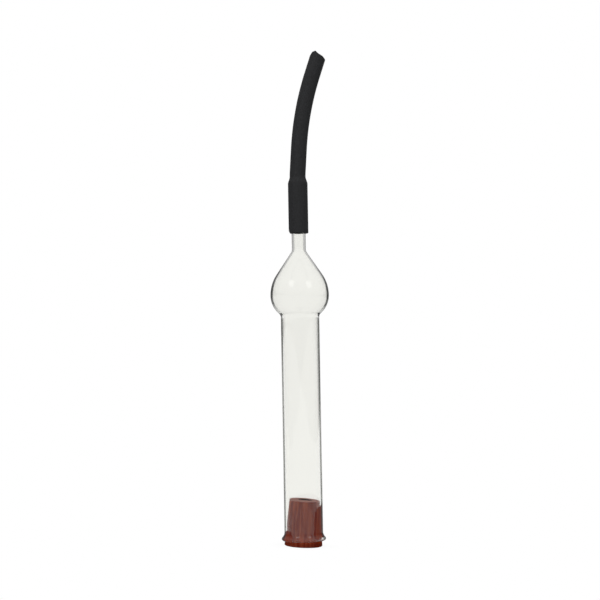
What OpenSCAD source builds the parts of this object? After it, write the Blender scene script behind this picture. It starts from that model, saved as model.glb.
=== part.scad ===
// Drying tube: a blown glass tube with one bulb, closed below by a one-hole
// rubber stopper, with a short rubber hose pushed over its stem.
// It stands on the stopper's foot. Z runs up the stopper's axis from the foot's
// centre, and the glass leans a little towards -X, as it was pushed on.
// Lengths of the glass are counted up its own axis, from the mouth.

/* [Glass tube] */
// Outside diameter of the straight tube
tube_od = 19.2; // [17.6:0.1:23.6]
// Wall of the straight tube
tube_wall = 1.2; // [0.9:0.1:1.5]
// Straight tube, from the mouth to the waist below the bulb
tube_len = 110.9; // [80:0.1:140]
// How far the flared lip stands out past the tube
lip_flare = 1.4; // [1.2:0.1:1.8]
// Thickness of the rounded rim of the lip
lip_bead = 1.7; // [1.4:0.1:2]

/* [Bulb] */
// Outside diameter of the bulb
bulb_od = 29.3; // [24.4:0.1:35.2]
// Radius of the bulb's side below its widest place
bulb_low_r = 12; // [10:0.1:12.6]
// Radius of the bulb's side above its widest place
bulb_high_r = 18.5; // [15.5:0.1:22]
// Wall of the blown bulb and of the cone above it
bulb_wall = 0.9; // [0.7:0.1:1.2]
// Slope of the cone above the bulb, from the glass's axis, in degrees
cone_slope = 34; // [29:1:39]
// Outside fillet of the waist between tube and bulb
waist_fillet = 2.5; // [1.5:0.1:3]
// Outside fillet between the cone and the stem
neck_fillet = 3; // [2:0.1:4]

/* [Stem] */
// Outside diameter of the stem
stem_od = 7; // [5.8:0.1:8.4]
// Wall of the stem
stem_wall = 1.2; // [1:0.1:1.4]
// Stem, from the corner where the cone would meet it to its end
stem_len = 34.9; // [29:0.1:45]

/* [Stopper] */
// Length of the stopper
stopper_len = 22.8; // [18.8:0.2:27.4]
// How much narrower the stopper's top is than the tube's bore
stopper_entry = 1.5; // [1.1:0.05:2]
// How much wider the stopper's foot is than the tube's bore
stopper_swell = 2.1; // [1.6:0.05:2.5]
// Diameter of the hole through the stopper
stopper_bore = 7; // [5.8:0.1:8.4]
// Rounding of the stopper's two rims
stopper_round = 0.5; // [0.3:0.1:0.8]
// How far the stopper stands out below the lip, at the middle
stopper_proud = 2.65; // [2.2:0.05:4]
// How far the mouth sits off the stopper's axis
mouth_shift = 0.17; // [0:0.01:0.25]
// How far the glass leans from the stopper's axis, in degrees
glass_lean = 3; // [0:0.5:3.5]

/* [Hose] */
// Outside diameter of the hose where nothing stretches it
hose_od = 8; // [6.6:0.1:9.6]
// Bore of the hose where nothing stretches it
hose_bore = 4; // [3:0.1:5]
// How far the hose is pushed over the stem
hose_grip = 26.1; // [21:0.1:28]
// Length over which the hose narrows again past the stem's end
hose_shoulder = 2.4; // [1.8:0.1:4]
// Bend just above the stem's end, in degrees
neck_bend = 3.9; // [1:0.1:8]
// Radius of the bend above the stem's end
neck_bend_r = 30; // [20:1:130]
// Straight stretch between the two bends
hose_straight = 12; // [4:0.5:16]
// Large bend towards the free end, in degrees
top_bend = 14.5; // [5:0.1:25]
// Radius of the large bend
top_bend_r = 150; // [80:1:180]
// Straight stretch at the free end, up to the middle of its cut
hose_tip = 10; // [8:0.5:20]

/* [Hidden] */
$fn = 96;

glass_colour = [0.86, 0.89, 0.87, 0.4];
stopper_colour = "#8a4034";
hose_colour = "#2f2f31";

tube_r = tube_od / 2;
bore_r = tube_r - tube_wall;
stem_r = stem_od / 2;
bead_r = lip_bead / 2;
bead_c = tube_r + lip_flare - bead_r; // the rim bead's centre, from the axis

flare_out_r = 4; // the lip's flare, seen from outside and from inside
flare_in_r = 6;
// Heights at which the two flares leave the straight tube, tangent to the bead
flare_out_s = bead_r + sqrt(pow(flare_out_r + bead_r, 2) - pow(tube_r + flare_out_r - bead_c, 2));
flare_in_s = bead_r + sqrt(pow(flare_in_r - bead_r, 2) - pow(bore_r + flare_in_r - bead_c, 2));

// The bulb's side is two arcs, which meet at its widest place and whose centres
// lie off the axis
low_c = bulb_od / 2 - bulb_low_r;
high_c = bulb_od / 2 - bulb_high_r;
bulb_s = tube_len + sqrt(pow(bulb_low_r + waist_fillet, 2) - pow(tube_r + waist_fillet - low_c, 2));
stem_corner_s = bulb_s + (bulb_high_r - (stem_r - high_c) * cos(cone_slope)) / sin(cone_slope);
stem_end_s = stem_corner_s + stem_len;

// Rubber keeps its volume, so the hose's wall thins where the stem stretches it
sleeve_od = sqrt(pow(hose_od, 2) - pow(hose_bore, 2) + pow(stem_od, 2));
sleeve_s = stem_end_s - hose_grip;
sleeve_chamfer = 0.4;
hose_s = stem_end_s + hose_shoulder; // where the hose has its own size again
// Each straight stretch is this much fatter than the bends, and runs this far
// into them, so that the solids cross cleanly where they join
seam_step = 0.04;
seam_lap = 0.5;

// The crooked cut of the hose's free end: across the hose, and above or below
// the straight stretch's length
cut_edge = [[-4.2, -1.6], [-3.3, 0.8], [-2, 1.6], [-0.1, 0.6], [2.2, 0.1], [4.2, -0.9]];
cut_room = 6; // spare size of the cutting block past the hose

function arc(c, s, r, from, to, steps) = [
    for (i = [0:steps]) let (a = from + (to - from) * i / steps)
        [c + r * cos(a), s + r * sin(a)]
];

// One surface of the glass from the waist to the stem's straight stretch
function bulb_side(tube, waist, low, high, stem, neck) =
    let (
        waist_s = bulb_s - sqrt(pow(low + waist, 2) - pow(tube + waist - low_c, 2)),
        turn = atan2(bulb_s - waist_s, tube + waist - low_c),
        neck_s = bulb_s + (high + neck - (stem + neck - high_c) * cos(cone_slope)) / sin(cone_slope)
    )
    concat(
        arc(tube + waist, waist_s, waist, 180, 180 - turn, 8),
        arc(low_c, bulb_s, low, 4 - turn, -4, 10),
        arc(high_c, bulb_s, high, 0, cone_slope, 12),
        arc(stem + neck, neck_s, neck, 180 + cone_slope, 180, 6)
    );

// The lip's round rim, from the inner flare round the mouth to the outer flare
lip_rim =
    let (
        inner = atan2(bead_r - flare_in_s, bead_c - bore_r - flare_in_r),
        outer = atan2(flare_out_s - bead_r, tube_r + flare_out_r - bead_c)
    )
    concat(
        arc(bore_r + flare_in_r, flare_in_s, flare_in_r, 180, 360 + inner, 6),
        arc(bead_c, bead_r, bead_r, inner + 12, outer - 10, 16),
        arc(tube_r + flare_out_r, flare_out_s, flare_out_r, 180 + outer, 180, 7)
    );

glass_outside = bulb_side(tube_r, waist_fillet, bulb_low_r, bulb_high_r, stem_r, neck_fillet);
glass_inside = bulb_side(
    bore_r, waist_fillet + tube_wall, bulb_low_r - bulb_wall, bulb_high_r - bulb_wall,
    stem_r - stem_wall, neck_fillet + stem_wall
);
stem_rim = arc(stem_r - stem_wall / 2, stem_end_s - stem_wall / 2, stem_wall / 2, 0, 180, 8);

function reversed(points) = [for (i = [len(points) - 1:-1:0]) points[i]];

// Places a shape drawn up the glass's own axis
module on_glass() {
    translate([mouth_shift, 0, stopper_proud]) rotate([0, -glass_lean, 0]) children();
}

// Runs a shape on past a bend towards +X
module past_bend(r, angle) {
    translate([r * (1 - cos(angle)), 0, r * sin(angle)]) rotate([0, angle, 0]) children();
}

// A round bar bent towards +X, which starts upwards at the origin
module bent_bar(d, r, angle) {
    translate([r, 0, 0]) rotate([90, 0, 0])
        rotate_extrude(angle = angle, start = 180 - angle) translate([r, 0]) circle(d = d);
}

// The free hose as a solid bar, whose straight stretches are d across
module hose_bar(d, tip) {
    bent_bar(d - seam_step, neck_bend_r, neck_bend);
    past_bend(neck_bend_r, neck_bend) {
        translate([0, 0, -seam_lap]) cylinder(d = d, h = hose_straight + 2 * seam_lap);
        translate([0, 0, hose_straight]) {
            bent_bar(d - seam_step, top_bend_r, top_bend);
            past_bend(top_bend_r, top_bend)
                translate([0, 0, -seam_lap]) cylinder(d = d, h = tip + seam_lap);
        }
    }
}

// Everything past the crooked cut of the free end
module cut_block() {
    past_bend(neck_bend_r, neck_bend) translate([0, 0, hose_straight])
        past_bend(top_bend_r, top_bend) translate([0, hose_od, hose_tip]) rotate([90, 0, 0])
            linear_extrude(2 * hose_od) polygon(concat(
                [[-cut_room, cut_room], [-cut_room, cut_edge[0][1]]], cut_edge,
                [[cut_room, cut_edge[len(cut_edge) - 1][1]], [cut_room, cut_room]]
            ));
}

module glass_tube() {
    color(glass_colour) on_glass() rotate_extrude()
        polygon(concat(lip_rim, glass_outside, stem_rim, reversed(glass_inside)));
}

// The mouth end of the glass, which the rubber is pressed against
module mouth_wall() {
    top_s = stopper_len + stopper_proud;
    rotate_extrude() polygon(concat(lip_rim, [[tube_r, top_s], [bore_r, top_s]]));
}

module rubber_stopper() {
    foot_r = bore_r + stopper_swell / 2;
    top_r = bore_r - stopper_entry / 2;
    taper = atan2(foot_r - top_r, stopper_len);
    round_in = stopper_round * (1 - sin(taper)) / cos(taper);
    round_out = stopper_round * (1 + sin(taper)) / cos(taper);
    color(stopper_colour) difference() {
        rotate_extrude() polygon(concat(
            [[0, 0]],
            arc(foot_r - round_out, stopper_round, stopper_round, -90, taper, 6),
            arc(top_r - round_in, stopper_len - stopper_round, stopper_round, taper, 90, 6),
            [[0, stopper_len]]
        ));
        translate([0, 0, -1]) cylinder(d = stopper_bore, h = stopper_len + 2);
        on_glass() mouth_wall();
    }
}

module rubber_hose() {
    sleeve_r = sleeve_od / 2;
    hose_r = hose_od / 2;
    color(hose_colour) on_glass() difference() {
        union() {
            rotate_extrude() polygon([
                [0, sleeve_s], [sleeve_r - sleeve_chamfer, sleeve_s], [sleeve_r, sleeve_s + sleeve_chamfer],
                [sleeve_r, stem_end_s - stem_wall], [hose_r, hose_s],
                [hose_r, hose_s + seam_lap], [0, hose_s + seam_lap]
            ]);
            translate([0, 0, hose_s]) hose_bar(hose_od, hose_tip + cut_room / 2);
        }
        rotate_extrude() polygon([
            [0, sleeve_s - 1], [stem_r, sleeve_s - 1], [stem_r, stem_end_s],
            [hose_bore / 2, hose_s], [hose_bore / 2, hose_s + seam_lap], [0, hose_s + seam_lap]
        ]);
        translate([0, 0, hose_s]) {
            hose_bar(hose_bore, hose_tip + cut_room);
            cut_block();
        }
    }
}

glass_tube();
rubber_stopper();
rubber_hose();
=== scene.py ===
"""Drying tube: blown glass with one bulb, a one-hole rubber stopper and a short rubber hose.

The glass is turned about its own axis, counted up from its mouth, and then set on the stopper
with the small lean that it was pushed on with. Outlines are in millimetres, as (radius, height).
"""
import math

import bpy
from mathutils import Matrix, Vector, noise


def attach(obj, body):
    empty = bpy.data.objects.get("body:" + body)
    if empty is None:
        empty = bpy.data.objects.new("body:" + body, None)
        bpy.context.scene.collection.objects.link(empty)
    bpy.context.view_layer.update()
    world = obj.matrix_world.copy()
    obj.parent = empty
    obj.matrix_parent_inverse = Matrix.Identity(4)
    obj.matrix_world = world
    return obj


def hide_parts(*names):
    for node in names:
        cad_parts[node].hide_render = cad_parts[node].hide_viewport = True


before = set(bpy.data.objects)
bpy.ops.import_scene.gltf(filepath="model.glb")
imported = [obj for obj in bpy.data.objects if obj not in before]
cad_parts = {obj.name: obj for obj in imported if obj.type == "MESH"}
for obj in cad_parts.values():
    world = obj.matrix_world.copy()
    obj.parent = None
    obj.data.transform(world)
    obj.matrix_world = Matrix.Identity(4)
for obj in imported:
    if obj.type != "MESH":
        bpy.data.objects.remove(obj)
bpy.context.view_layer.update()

MM = 0.001
SIDES = 192

# The glass
TUBE_R = 9.6
BORE_R = 8.4
TUBE_LENGTH = 110.9
BULB_R = 14.64
BULB_LOW_R = 12
BULB_HIGH_R = 18.5
BULB_WALL = 0.9
CONE_SLOPE = 34
WAIST_FILLET = 2.5
NECK_FILLET = 3
STEM_R = 3.5
STEM_WALL = 1.2
STEM_LENGTH = 34.9
BEAD_R = 0.85
BEAD_CENTRE = 10.15
FLARE_OUT_R = 4
FLARE_IN_R = 6
BEAD_MEETS_FLARE = 0.37  # height, on the inside
OUT_OF_ROUND = 0.035
MOUTH = Vector((0.17, 0, 2.65))
GLASS_LEAN = 3

FLARE_OUT_S = BEAD_R + math.sqrt((FLARE_OUT_R + BEAD_R) ** 2 - (TUBE_R + FLARE_OUT_R - BEAD_CENTRE) ** 2)
FLARE_IN_S = BEAD_R + math.sqrt((FLARE_IN_R - BEAD_R) ** 2 - (BORE_R + FLARE_IN_R - BEAD_CENTRE) ** 2)
# The bulb's side is two arcs, which meet at its widest place
LOW_CENTRE = BULB_R - BULB_LOW_R
HIGH_CENTRE = BULB_R - BULB_HIGH_R
BULB_S = TUBE_LENGTH + math.sqrt(
    (BULB_LOW_R + WAIST_FILLET) ** 2 - (TUBE_R + WAIST_FILLET - LOW_CENTRE) ** 2
)
SLOPE = math.radians(CONE_SLOPE)
STEM_CORNER_S = BULB_S + (BULB_HIGH_R - (STEM_R - HIGH_CENTRE) * math.cos(SLOPE)) / math.sin(SLOPE)
STEM_END_S = STEM_CORNER_S + STEM_LENGTH

# The stopper
STOPPER_LENGTH = 22.8
STOPPER_FOOT_R = 9.45
STOPPER_TOP_R = 7.65
STOPPER_BORE_R = 3.5
STOPPER_ROUND = 0.5
STOPPER_TOP_TILT = 2.5
PRESSED_IN = 0.03  # the rubber wets the glass where it is squeezed hard against it
HELD_OFF = 0.03  # and elsewhere leaves a film of air
# Where it is squeezed hard: degrees round from +X, and the height above the foot that this reaches
RIGHT_TURN, RIGHT_HEIGHT = 54, 22.8
LEFT_TURN, LEFT_HEIGHT = 128, 7.5
BLOTCH_SIZE = 2.5

# The hose
HOSE_R = 4
HOSE_BORE_R = 2
SLEEVE_R = 4.92
GRIP = 26.1
SLEEVE_S = STEM_END_S - GRIP
SHOULDER_START = STEM_END_S - 1.4
HOSE_S = STEM_END_S + 2.4
BEVEL_WIDTH, BEVEL_HEIGHT = 0.65, 1.7  # of the sleeve's foot, on the left
NECK_BEND, NECK_BEND_R = 3.9, 30
HOSE_STRAIGHT = 12
TOP_BEND, TOP_BEND_R = 14.5, 150
HOSE_TIP = 10
CUT_REACH = 4  # how far down the hose the cut is eased in
# The crooked cut of the free end: across the hose, and above or below its mean length
CUT = [(-4.2, -1.6), (-3.3, 0.8), (-2, 1.6), (-0.1, 0.6), (2.2, 0.1), (4.2, -0.9)]

# Heights between which the glass's painted edge shade changes, for the colour ramps
RAMP_FROM, RAMP_TO = 20, 150

ON_GLASS = Matrix.Translation(MOUTH) @ Matrix.Rotation(-math.radians(GLASS_LEAN), 4, "Y")
OFF_GLASS = ON_GLASS.inverted()


# ---------------------------------------------------------------- outlines

def arc(centre_r, centre_s, radius, start, end, steps):
    """Points on an arc, whose angles count in degrees from outwards to upwards."""
    points = []
    for i in range(steps + 1):
        angle = math.radians(start + (end - start) * i / steps)
        points.append((centre_r + radius * math.cos(angle), centre_s + radius * math.sin(angle)))
    return points


def filled(points, step):
    """The same outline, with more points on its long straight stretches."""
    out = [points[0]]
    for a, b in zip(points, points[1:]):
        count = max(1, round(math.dist(a, b) / step))
        for i in range(1, count + 1):
            share = i / count
            out.append((a[0] + (b[0] - a[0]) * share, a[1] + (b[1] - a[1]) * share))
    return out


def bulb_side(tube, waist, low, high, stem, neck):
    """One surface of the glass, from the waist over the bulb and its cone to the stem."""
    waist_s = BULB_S - math.sqrt((low + waist) ** 2 - (tube + waist - LOW_CENTRE) ** 2)
    turn = math.degrees(math.atan2(BULB_S - waist_s, tube + waist - LOW_CENTRE))
    neck_s = BULB_S + (high + neck - (stem + neck - HIGH_CENTRE) * math.cos(SLOPE)) / math.sin(SLOPE)
    return (
        arc(tube + waist, waist_s, waist, 180, 180 - turn, 12)
        + arc(LOW_CENTRE, BULB_S, low, 1 - turn, -1, 24)
        + arc(HIGH_CENTRE, BULB_S, high, 0, CONE_SLOPE, 20)
        + arc(stem + neck, neck_s, neck, 180 + CONE_SLOPE, 180, 10)
    )


def lip():
    """The flared lip, from the inner flare round its beaded rim to the outer flare."""
    inner = math.degrees(math.atan2(BEAD_R - FLARE_IN_S, BEAD_CENTRE - BORE_R - FLARE_IN_R))
    outer = math.degrees(math.atan2(FLARE_OUT_S - BEAD_R, TUBE_R + FLARE_OUT_R - BEAD_CENTRE))
    return (
        arc(BORE_R + FLARE_IN_R, FLARE_IN_S, FLARE_IN_R, 180, 360 + inner, 12)
        + arc(BEAD_CENTRE, BEAD_R, BEAD_R, inner + 6, outer - 6, 24)
        + arc(TUBE_R + FLARE_OUT_R, FLARE_OUT_S, FLARE_OUT_R, 180 + outer, 180, 12)
    )


def glass_outline():
    outside = bulb_side(TUBE_R, WAIST_FILLET, BULB_LOW_R, BULB_HIGH_R, STEM_R, NECK_FILLET)
    inside = bulb_side(
        BORE_R, WAIST_FILLET + TUBE_R - BORE_R, BULB_LOW_R - BULB_WALL, BULB_HIGH_R - BULB_WALL,
        STEM_R - STEM_WALL, NECK_FILLET + STEM_WALL,
    )
    rim = arc(STEM_R - STEM_WALL / 2, STEM_END_S - STEM_WALL / 2, STEM_WALL / 2, 0, 180, 12)
    points = lip() + outside + rim + inside[::-1]
    return filled(points + points[:1], 2.5)


def stopper_outline():
    taper = math.atan2(STOPPER_FOOT_R - STOPPER_TOP_R, STOPPER_LENGTH)
    slant = math.degrees(taper)
    round_in = STOPPER_ROUND * (1 - math.sin(taper)) / math.cos(taper)
    round_out = STOPPER_ROUND * (1 + math.sin(taper)) / math.cos(taper)
    edge = 0.3
    points = (
        arc(STOPPER_BORE_R + edge, edge, edge, 180, 270, 5)
        + arc(STOPPER_FOOT_R - round_out, STOPPER_ROUND, STOPPER_ROUND, -90, slant, 8)
        + arc(STOPPER_TOP_R - round_in, STOPPER_LENGTH - STOPPER_ROUND, STOPPER_ROUND, slant, 90, 8)
        + arc(STOPPER_BORE_R + edge, STOPPER_LENGTH - edge, edge, 90, 180, 5)
    )
    return filled(points + points[:1], 0.4)


def hose_outline():
    """The hose as if it were straight, from the sleeve's foot up to its free end and down its bore."""
    tip_s = HOSE_S + hose_length_past_shoulder()
    shoulder = []
    for i in range(13):
        share = i / 12
        height = SHOULDER_START + share * (HOSE_S - SHOULDER_START)
        shoulder.append((SLEEVE_R + (HOSE_R - SLEEVE_R) * ease(share, 0, 1), height))
    points = (
        [(STEM_R + 0.01, SLEEVE_S + 0.2), (STEM_R + 0.2, SLEEVE_S)]
        + arc(SLEEVE_R - 0.4, SLEEVE_S + 0.4, 0.4, -90, 0, 6)
        + shoulder
        + arc(HOSE_R - 0.15, tip_s - 0.15, 0.15, 0, 90, 4)
        + [(HOSE_BORE_R, tip_s), (HOSE_BORE_R, HOSE_S), (STEM_R + 0.01, STEM_END_S + 0.1)]
    )
    return filled(points + points[:1], 0.7)


def hose_length_past_shoulder():
    bends = math.radians(NECK_BEND) * NECK_BEND_R + math.radians(TOP_BEND) * TOP_BEND_R
    return bends + HOSE_STRAIGHT + HOSE_TIP


# ---------------------------------------------------------------- shaping

def turned(name, outline):
    """Turns a closed outline round the Z axis: a point is extruded along it and then spun."""
    bpy.ops.object.select_all(action="DESELECT")
    bpy.ops.mesh.primitive_plane_add(size=MM, location=(0, 0, 0))
    piece = bpy.context.object
    piece.name = name
    piece.data.name = name
    bpy.ops.object.mode_set(mode="EDIT")
    bpy.ops.mesh.select_all(action="SELECT")
    bpy.ops.mesh.merge(type="CENTER")
    here = Vector((0, 0, 0))
    for i, (radius, height) in enumerate(outline):
        there = Vector((radius * MM, 0, height * MM))
        if i == 0:
            bpy.ops.transform.translate(value=there - here)
        else:
            bpy.ops.mesh.extrude_vertices_move(TRANSFORM_OT_translate={"value": there - here})
        here = there
    bpy.ops.mesh.select_all(action="SELECT")
    bpy.ops.mesh.spin(steps=SIDES, angle=2 * math.pi, center=(0, 0, 0), axis=(0, 0, 1))
    bpy.ops.mesh.select_all(action="SELECT")
    bpy.ops.mesh.remove_doubles(threshold=0.002 * MM)
    bpy.ops.mesh.normals_make_consistent(inside=False)
    bpy.ops.object.mode_set(mode="OBJECT")
    bpy.ops.object.shade_smooth()
    return piece


def shape(piece, rule):
    """Moves each point of a piece by a rule that is written in millimetres."""
    for vertex in piece.data.vertices:
        vertex.co = rule(vertex.co / MM) * MM
    piece.data.update()


def ease(value, low, high):
    """Rises smoothly from 0 at low to 1 at high."""
    share = min(1, max(0, (value - low) / (high - low)))
    return share * share * (3 - 2 * share)


def path_point(height):
    """Centre of the hose at a length along it, and its heading, both beside the glass's axis."""
    x, s, heading = 0.0, min(height, HOSE_S), 0.0
    left = height - s
    for length, turn in (
        (math.radians(NECK_BEND) * NECK_BEND_R, NECK_BEND),
        (HOSE_STRAIGHT, 0),
        (math.radians(TOP_BEND) * TOP_BEND_R, TOP_BEND),
        (HOSE_TIP + 9, 0),
    ):
        part = min(left, length)
        if part <= 0:
            break
        if turn:
            after = heading + math.radians(turn) * part / length
            radius = length / math.radians(turn)
            x += radius * (math.cos(heading) - math.cos(after))
            s += radius * (math.sin(after) - math.sin(heading))
            heading = after
        else:
            x += part * math.sin(heading)
            s += part * math.cos(heading)
        left -= part
    return x, s, heading


def cut_height(across):
    """How far the crooked cut rises above the hose's mean length, at a place across the hose."""
    for (a, low), (b, high) in zip(CUT, CUT[1:]):
        if across <= b:
            return low + (high - low) * max(0, (across - a) / (b - a))
    return CUT[-1][1]


# ---------------------------------------------------------------- pieces

def make_glass():
    piece = turned("blown_glass_tube", glass_outline())

    def blown(p):
        height = p.z
        # A drawn tube is never quite round or straight
        wander = 0.02 * math.sin(height / 9.0) + 0.015 * math.sin(height / 3.7 + 1.0)
        free = ease(height, 28, 40) * (1 - ease(height, 148, 152))
        radius = math.hypot(p.x, p.y)
        oval = math.cos(2 * math.atan2(p.y, p.x) + height / 40)
        swell = 1 + free * (wander * oval - OUT_OF_ROUND) / radius
        return ON_GLASS @ Vector((p.x * swell, p.y * swell, height))

    outer = piece.data.attributes.new("outer_wall", "FLOAT", "POINT")
    for vertex, place in zip(piece.data.vertices, outer.data):
        faces_out = vertex.normal.x * vertex.co.x + vertex.normal.y * vertex.co.y > 0
        place.value = 1 if faces_out else 0
    shape(piece, blown)
    return piece


def mouth_radius(height):
    """Inner radius of the glass's mouth at a height above its rim, or None below it."""
    if height >= FLARE_IN_S:
        return BORE_R
    if height >= BEAD_MEETS_FLARE:
        return BORE_R + FLARE_IN_R - math.sqrt(FLARE_IN_R ** 2 - (FLARE_IN_S - height) ** 2)
    if height >= 0:
        return BEAD_CENTRE - math.sqrt(BEAD_R ** 2 - (height - BEAD_R) ** 2)
    return None


def wetness(inside, radius, height):
    """How firmly the rubber touches: along the right, where the glass leans on it, and low left."""
    turn = math.degrees(math.acos(max(-1, min(1, inside.x / radius))))
    blotch = noise.noise(inside / BLOTCH_SIZE)
    right_room = RIGHT_HEIGHT - turn / 10 + 1.2 * blotch - height
    left_room = LEFT_HEIGHT + 1.5 * blotch - height
    right = ease(RIGHT_TURN + 4 * blotch - turn, 0, 20) * ease(right_room, 0, 9)
    left = ease(turn - LEFT_TURN + 8 * blotch, 0, 20) * ease(left_room, 0, 3)
    return right + left


def make_stopper():
    piece = turned("red_rubber_stopper", stopper_outline())
    tilt = math.tan(math.radians(STOPPER_TOP_TILT))
    wetted = piece.data.attributes.new("wetted", "FLOAT", "POINT")
    for vertex, place in zip(piece.data.vertices, wetted.data):
        inside = OFF_GLASS @ (vertex.co / MM)
        radius = math.hypot(inside.x, inside.y)
        place.value = wetness(inside, radius, vertex.co.z / MM) if radius > 6 else 0

    def squeezed(p):
        # The top was cut a little crooked
        p = Vector((p.x, p.y, p.z - p.x * tilt * ease(p.z, STOPPER_LENGTH - 4, STOPPER_LENGTH)))
        inside = OFF_GLASS @ p
        radius = math.hypot(inside.x, inside.y)
        limit = mouth_radius(inside.z)
        firm = limit is not None and wetness(inside, radius, p.z) > 0
        if limit is None or (radius <= limit - HELD_OFF and not (firm and radius > limit - 0.2)):
            return p
        wall = limit + (PRESSED_IN if firm else -HELD_OFF)
        share = wall / radius
        return ON_GLASS @ Vector((inside.x * share, inside.y * share, inside.z))

    shape(piece, squeezed)
    return piece


def make_hose():
    piece = turned("black_rubber_hose", hose_outline())
    tip_s = HOSE_S + hose_length_past_shoulder()
    straight = piece.data.attributes.new("along_hose", "FLOAT_VECTOR", "POINT")
    for vertex, place in zip(piece.data.vertices, straight.data):
        place.vector = vertex.co

    def laid(p):
        # Its lower end was cut with a bevel on the one side
        low = 1 - ease(p.z, SLEEVE_S - 0.4, SLEEVE_S + BEVEL_HEIGHT)
        bevel = BEVEL_WIDTH * max(0, -p.x / SLEEVE_R) ** 2 * low
        if math.hypot(p.x, p.y) > SLEEVE_R - 0.6 and bevel > 0:
            p = Vector((p.x * (1 - bevel / SLEEVE_R), p.y * (1 - bevel / SLEEVE_R), p.z))
        height = p.z + cut_height(p.x) * ease(p.z, tip_s - CUT_REACH, tip_s)
        x, s, heading = path_point(height)
        side = Vector((math.cos(heading), 0, -math.sin(heading)))
        return ON_GLASS @ (Vector((x, p.y, s)) + side * p.x)

    shape(piece, laid)
    return piece


# ---------------------------------------------------------------- materials

def tone(text):
    """An sRGB hex colour as the linear one that Blender works in."""
    channels = [int(text[i:i + 2], 16) / 255 for i in (1, 3, 5)]
    linear = [c / 12.92 if c <= 0.04045 else ((c + 0.055) / 1.055) ** 2.4 for c in channels]
    return (*linear, 1)


def add_node(tree, kind, inputs=None, **settings):
    """Adds one node, and sets or links its inputs by name or number."""
    node = tree.nodes.new(kind)
    for name, value in settings.items():
        setattr(node, name, value)
    for name, value in (inputs or {}).items():
        if isinstance(value, bpy.types.NodeSocket):
            tree.links.new(value, node.inputs[name])
        else:
            node.inputs[name].default_value = value
    return node


def add_ramp(tree, value, stops):
    """A ramp up the glass, whose stops are heights in millimetres with a hex colour or a number."""
    node = add_node(tree, "ShaderNodeValToRGB", {"Fac": value})
    elements = node.color_ramp.elements
    while len(elements) < len(stops):
        elements.new(1)
    for element, (height, level) in zip(elements, stops):
        element.position = (height - RAMP_FROM) / (RAMP_TO - RAMP_FROM)
        element.color = tone(level) if isinstance(level, str) else (level, level, level, 1)
    return node


def new_material(name):
    material = bpy.data.materials.new(name)
    material.use_nodes = True
    material.node_tree.nodes.clear()
    return material, material.node_tree


def blown_glass():
    """Clear blown glass: painted shade greys a wall seen edge on, as little light from the sides comes
    through it.
    """
    material, tree = new_material("blown_laboratory_glass")
    place = add_node(tree, "ShaderNodeTexCoord")
    heights = add_node(tree, "ShaderNodeSeparateXYZ", {"Vector": place.outputs["Object"]})
    along = add_node(tree, "ShaderNodeMapRange", {
        "Value": heights.outputs["Z"], "From Min": RAMP_FROM * MM, "From Max": RAMP_TO * MM,
    })
    # How grey the painted edge shade is, up the glass: even on the tube, faint at the waist, darkest on the
    # bulb
    painted_edge_shade = add_ramp(tree, along.outputs["Result"], (
        (25, "#50524c"), (70, "#64665f"), (112, "#64665f"), (114, "#d0d2ce"), (117, "#a0a29d"),
        (119.5, "#191a18"), (133, "#191a18"), (137, "#343632"), (141, "#7c7e79"), (145, "#b6b8b4"),
        (149, "#bcbeba"),
    ))
    # Where the painted edge shade begins, as the slant of the wall to the eye: it is narrow on the bulb and
    # wide on the stem
    begin = add_ramp(tree, along.outputs["Result"], (
        (112, 0.555), (118, 0.59), (128, 0.59), (136, 0.68), (144, 0.74), (149, 0.50),
    ))
    full = add_node(tree, "ShaderNodeMath", {0: begin.outputs[0], 1: 0.06}, operation="ADD")
    facing = add_node(tree, "ShaderNodeLayerWeight", {"Blend": 0.5})
    edge = add_node(tree, "ShaderNodeMapRange", {
        "Value": facing.outputs["Facing"], "From Min": begin.outputs[0], "From Max": full.outputs[0],
    }, interpolation_type="SMOOTHSTEP")
    outer = add_node(tree, "ShaderNodeAttribute", attribute_name="outer_wall")
    amount = add_node(tree, "ShaderNodeMath", {
        0: edge.outputs["Result"], 1: outer.outputs["Fac"],
    }, operation="MULTIPLY")
    # The clear glass colour, greyed by painted shade towards the edges of the outer wall
    clear_and_painted_edge_shade = add_node(tree, "ShaderNodeMixRGB", {
        "Fac": amount.outputs[0], "Color1": tone("#f9f9f6"), "Color2": painted_edge_shade.outputs[0],
    })
    shader = add_node(tree, "ShaderNodeBsdfPrincipled", {
        "Base Color": clear_and_painted_edge_shade.outputs[0], "Roughness": 0.0, "IOR": 1.5, "Transmission Weight": 1.0,
    })
    clear = add_node(tree, "ShaderNodeBsdfTransparent", {"Color": tone("#f4f5f3")})
    light = add_node(tree, "ShaderNodeLightPath")
    mix = add_node(tree, "ShaderNodeMixShader", {
        0: light.outputs["Is Shadow Ray"], 1: shader.outputs[0], 2: clear.outputs[0],
    })
    add_node(tree, "ShaderNodeOutputMaterial", {"Surface": mix.outputs[0]})
    return material


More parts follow.
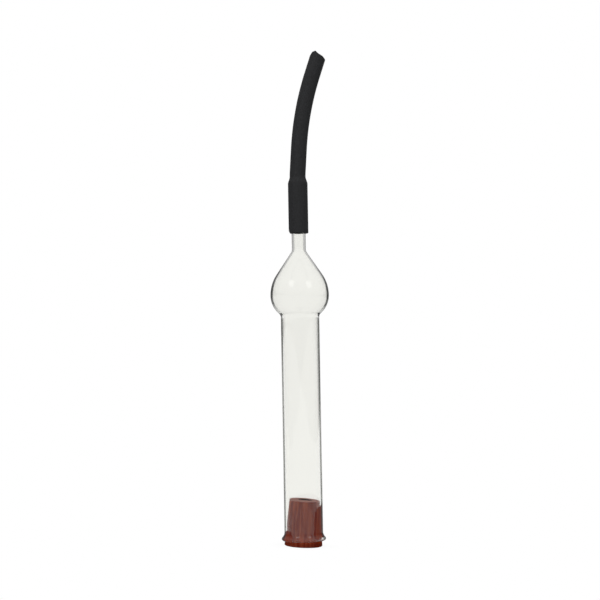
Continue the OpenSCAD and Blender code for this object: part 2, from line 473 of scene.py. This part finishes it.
def stopper_rubber():
    """Moulded red-brown rubber: matt, with faint upright flow streaks and painted light on top."""
    material, tree = new_material("moulded_red_rubber")
    place = add_node(tree, "ShaderNodeTexCoord")
    broad = add_node(tree, "ShaderNodeMapping", {
        "Vector": place.outputs["Object"], "Scale": (1 / (1.6 * MM), 1 / (1.6 * MM), 1 / (30 * MM)),
    })
    streaks = add_node(tree, "ShaderNodeTexNoise", {
        "Vector": broad.outputs[0], "Scale": 1.0, "Detail": 2.0, "Roughness": 0.5,
    })
    streak = add_node(tree, "ShaderNodeMapRange", {
        "Value": streaks.outputs["Fac"], "From Min": 0.40, "From Max": 0.58,
    })
    colour = add_node(tree, "ShaderNodeMixRGB", {
        "Fac": streak.outputs["Result"], "Color1": tone("#8b2810"), "Color2": tone("#b04d2c"),
    })
    fine = add_node(tree, "ShaderNodeMapping", {
        "Vector": place.outputs["Object"], "Scale": (1 / (0.5 * MM), 1 / (0.5 * MM), 1 / (9 * MM)),
    })
    threads = add_node(tree, "ShaderNodeTexNoise", {
        "Vector": fine.outputs[0], "Scale": 1.0, "Detail": 3.0, "Roughness": 0.6,
    })
    thread = add_node(tree, "ShaderNodeMapRange", {
        "Value": threads.outputs["Fac"], "From Min": 0.52, "From Max": 0.70, "To Max": 0.5,
    })
    streaked = add_node(tree, "ShaderNodeMixRGB", {
        "Fac": thread.outputs["Result"], "Color1": colour.outputs[0], "Color2": tone("#b25e48"),
    })
    # Where it is pressed to the glass its own deep colour shows
    wetted = add_node(tree, "ShaderNodeAttribute", attribute_name="wetted")
    deep = add_node(tree, "ShaderNodeMixRGB", {
        "Fac": wetted.outputs["Fac"], "Color1": streaked.outputs[0], "Color2": tone("#a83c0c"),
    })
    parts = add_node(tree, "ShaderNodeSeparateXYZ", {"Vector": place.outputs["Object"]})
    # Painted light: the top face is painted a paler pink, as if lit from above
    top = add_node(tree, "ShaderNodeMapRange", {
        "Value": parts.outputs["Z"], "From Min": 22.1 * MM, "From Max": 22.6 * MM,
    })
    top_painted_light = add_node(tree, "ShaderNodeMixRGB", {
        "Fac": top.outputs["Result"], "Color1": deep.outputs[0], "Color2": tone("#c4867c"),
    })
    # Painted shade: the foot is painted darker towards the bottom
    foot = add_node(tree, "ShaderNodeMapRange", {
        "Value": parts.outputs["Z"], "From Min": 1.6 * MM, "From Max": 2.6 * MM, "To Min": 0.55, "To Max": 0,
    })
    foot_painted_shade = add_node(tree, "ShaderNodeMixRGB", {
        "Fac": foot.outputs["Result"], "Color1": top_painted_light.outputs[0], "Color2": tone("#5a1c12"),
    })
    # The hole's wall gets hardly any light
    flat = add_node(tree, "ShaderNodeCombineXYZ", {"X": parts.outputs["X"], "Y": parts.outputs["Y"]})
    out = add_node(tree, "ShaderNodeVectorMath", {0: flat.outputs[0]}, operation="LENGTH")
    bore = add_node(tree, "ShaderNodeMapRange", {
        "Value": out.outputs["Value"], "From Min": (STOPPER_BORE_R + 0.02) * MM,
        "From Max": (STOPPER_BORE_R + 0.45) * MM, "To Min": 1, "To Max": 0,
    })
    rubber = add_node(tree, "ShaderNodeMixRGB", {
        "Fac": bore.outputs["Result"], "Color1": foot_painted_shade.outputs[0], "Color2": tone("#3a1f18"),
    })
    grain = add_node(tree, "ShaderNodeTexNoise", {
        "Vector": place.outputs["Object"], "Scale": 1 / (0.35 * MM), "Detail": 4.0,
    })
    bump = add_node(tree, "ShaderNodeBump", {
        "Height": grain.outputs["Fac"], "Strength": 0.5, "Distance": 0.05 * MM,
    })
    shader = add_node(tree, "ShaderNodeBsdfPrincipled", {
        "Base Color": rubber.outputs[0], "Roughness": 0.65, "IOR": 1.5, "Specular IOR Level": 0.06,
        "Normal": bump.outputs[0],
    })
    add_node(tree, "ShaderNodeOutputMaterial", {"Surface": shader.outputs[0]})
    return material


def hose_rubber():
    """Extruded black rubber hose: matt and slightly dusty, so its sides look mottled grey."""
    material, tree = new_material("extruded_black_rubber")
    place = add_node(tree, "ShaderNodeAttribute", attribute_name="along_hose")
    mottle = add_node(tree, "ShaderNodeTexNoise", {
        "Vector": place.outputs["Vector"], "Scale": 1 / (0.7 * MM), "Detail": 5.0, "Roughness": 0.65,
    })
    amount = add_node(tree, "ShaderNodeMapRange", {
        "Value": mottle.outputs["Fac"], "From Min": 0.35, "From Max": 0.65,
    })
    colour = add_node(tree, "ShaderNodeMixRGB", {
        "Fac": amount.outputs["Result"], "Color1": tone("#262627"), "Color2": tone("#323335"),
    })
    bump = add_node(tree, "ShaderNodeBump", {
        "Height": mottle.outputs["Fac"], "Strength": 0.6, "Distance": 0.06 * MM,
    })
    shader = add_node(tree, "ShaderNodeBsdfPrincipled", {
        "Base Color": colour.outputs[0], "Roughness": 0.65, "IOR": 1.5, "Specular IOR Level": 0.35,
        "Normal": bump.outputs[0],
    })
    add_node(tree, "ShaderNodeOutputMaterial", {"Surface": shader.outputs[0]})
    return material


def first_sight(tree):
    """1 for what the eye sees straight or through the glass, 0 for light that has met rubber or floor."""
    light = add_node(tree, "ShaderNodeLightPath")
    straight = add_node(tree, "ShaderNodeMath", {
        0: light.outputs["Is Camera Ray"], 1: light.outputs["Is Transmission Ray"],
    }, operation="MAXIMUM")
    early = add_node(tree, "ShaderNodeMath", {
        0: light.outputs["Diffuse Depth"], 1: 0.5,
    }, operation="LESS_THAN")
    seen = add_node(tree, "ShaderNodeMath", {
        0: straight.outputs[0], 1: early.outputs[0],
    }, operation="MULTIPLY")
    return light, seen.outputs[0]


def pale_floor():
    """A white light table, which joins the white round it; the foot shades it a little where it stands."""
    material, tree = new_material("pale_floor")
    light, seen = first_sight(tree)
    near = add_node(tree, "ShaderNodeAmbientOcclusion", {"Distance": 9 * MM}, samples=8)
    shade = add_node(tree, "ShaderNodeMapRange", {
        "Value": near.outputs["AO"], "To Min": 0.93, "To Max": 1.0,
    })
    white = add_node(tree, "ShaderNodeEmission", {
        "Color": (1, 1, 1, 1), "Strength": shade.outputs["Result"],
    })
    gloss = add_node(tree, "ShaderNodeMapRange", {
        "Value": light.outputs["Is Glossy Ray"], "To Min": 0.2, "To Max": 0.35,
    })
    dim = add_node(tree, "ShaderNodeEmission", {"Color": (1, 1, 1, 1), "Strength": gloss.outputs["Result"]})
    mix = add_node(tree, "ShaderNodeMixShader", {0: seen, 1: dim.outputs[0], 2: white.outputs[0]})
    add_node(tree, "ShaderNodeOutputMaterial", {"Surface": mix.outputs[0]})
    return material


def white_surround():
    """White to the eye; the rubber and the gloss meet a dimmer room, which is darkest near the horizon."""
    world = bpy.data.worlds.new("white_surround")
    world.use_nodes = True
    tree = world.node_tree
    tree.nodes.clear()
    light, seen = first_sight(tree)
    place = add_node(tree, "ShaderNodeTexCoord")
    parts = add_node(tree, "ShaderNodeSeparateXYZ", {"Vector": place.outputs["Generated"]})
    gloss = add_node(tree, "ShaderNodeMapRange", {
        "Value": parts.outputs["Z"], "From Min": 0.0, "From Max": 0.7, "To Min": 0.08, "To Max": 0.7,
    })
    strength = add_node(tree, "ShaderNodeMapRange", {
        "Value": light.outputs["Is Glossy Ray"], "To Min": 0.22, "To Max": gloss.outputs["Result"],
    })
    dim = add_node(tree, "ShaderNodeBackground", {
        "Color": (1, 1, 1, 1), "Strength": strength.outputs["Result"],
    })
    # A little less bright where the glass's own surfaces mirror it
    mirrored = add_node(tree, "ShaderNodeMapRange", {
        "Value": light.outputs["Glossy Depth"], "To Min": 1.0, "To Max": 0.55,
    })
    white = add_node(tree, "ShaderNodeBackground", {
        "Color": (1, 1, 1, 1), "Strength": mirrored.outputs["Result"],
    })
    mix = add_node(tree, "ShaderNodeMixShader", {0: seen, 1: dim.outputs[0], 2: white.outputs[0]})
    add_node(tree, "ShaderNodeOutputWorld", {"Surface": mix.outputs[0]})
    return world


# ---------------------------------------------------------------- stage

def make_stage():
    bpy.ops.object.select_all(action="DESELECT")
    bpy.ops.mesh.primitive_circle_add(vertices=96, radius=3.0, fill_type="NGON", location=(0, 0, 0))
    floor = bpy.context.object
    floor.name = "floor"
    floor.data.materials.append(pale_floor())
    bpy.context.scene.world = white_surround()


def soft_light(name, place, size, power, mirrored):
    """A square of soft light that faces the part's middle; only a mirrored one shows in the glass."""
    data = bpy.data.lights.new(name, "AREA")
    data.shape = "RECTANGLE"
    data.size = size[0]
    data.size_y = size[1]
    data.energy = power
    lamp = bpy.data.objects.new(name, data)
    bpy.context.collection.objects.link(lamp)
    lamp.visible_transmission = False
    lamp.visible_glossy = mirrored
    lamp.location = place
    lamp.rotation_mode = "QUATERNION"
    lamp.rotation_quaternion = (Vector((0, 0, 0.12)) - Vector(place)).to_track_quat("-Z", "Y")


def make_camera():
    eye = Vector((-5.18, -713, 99.5)) * MM
    target = Vector((-5.96, 0, 122.0)) * MM
    roll = math.radians(2)
    data = bpy.data.cameras.new("camera")
    data.sensor_width = 36
    data.lens = 85.6
    camera = bpy.data.objects.new("camera", data)
    bpy.context.collection.objects.link(camera)
    back = (eye - target).normalized()
    up = Vector((-math.sin(roll), 0, math.cos(roll)))
    right = up.cross(back).normalized()
    up = back.cross(right)
    camera.matrix_world = Matrix((
        (right.x, up.x, back.x, eye.x),
        (right.y, up.y, back.y, eye.y),
        (right.z, up.z, back.z, eye.z),
        (0, 0, 0, 1),
    ))
    bpy.context.scene.camera = camera


make_camera()
make_stage()
for light in (
    ("front_soft", (-0.3, -0.85, 0.4), (0.6, 0.8), 2.7, False),
    ("back_soft", (0.2, 0.8, 0.5), (0.6, 0.6), 1.2, False),
    ("left_box", (-0.485, -0.578, 0.61), (0.3, 0.3), 0.5, True),
    ("right_box", (0.485, -0.578, 0.61), (0.3, 0.3), 0.5, True),
):
    soft_light(*light)
bpy.context.scene.view_settings.view_transform = "Standard"

glass = make_glass()
glass.data.materials.append(blown_glass())
stopper = make_stopper()
stopper.data.materials.append(stopper_rubber())
hose = make_hose()
hose.data.materials.append(hose_rubber())

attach(glass, "root")
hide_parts("glass_tube")
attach(stopper, "root")
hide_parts("rubber_stopper")
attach(hose, "root")
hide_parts("rubber_hose")

hose_end_s = HOSE_S + hose_length_past_shoulder()
for i in range(31):
    x, s, heading = path_point(SLEEVE_S + (hose_end_s - SLEEVE_S) * i / 30)
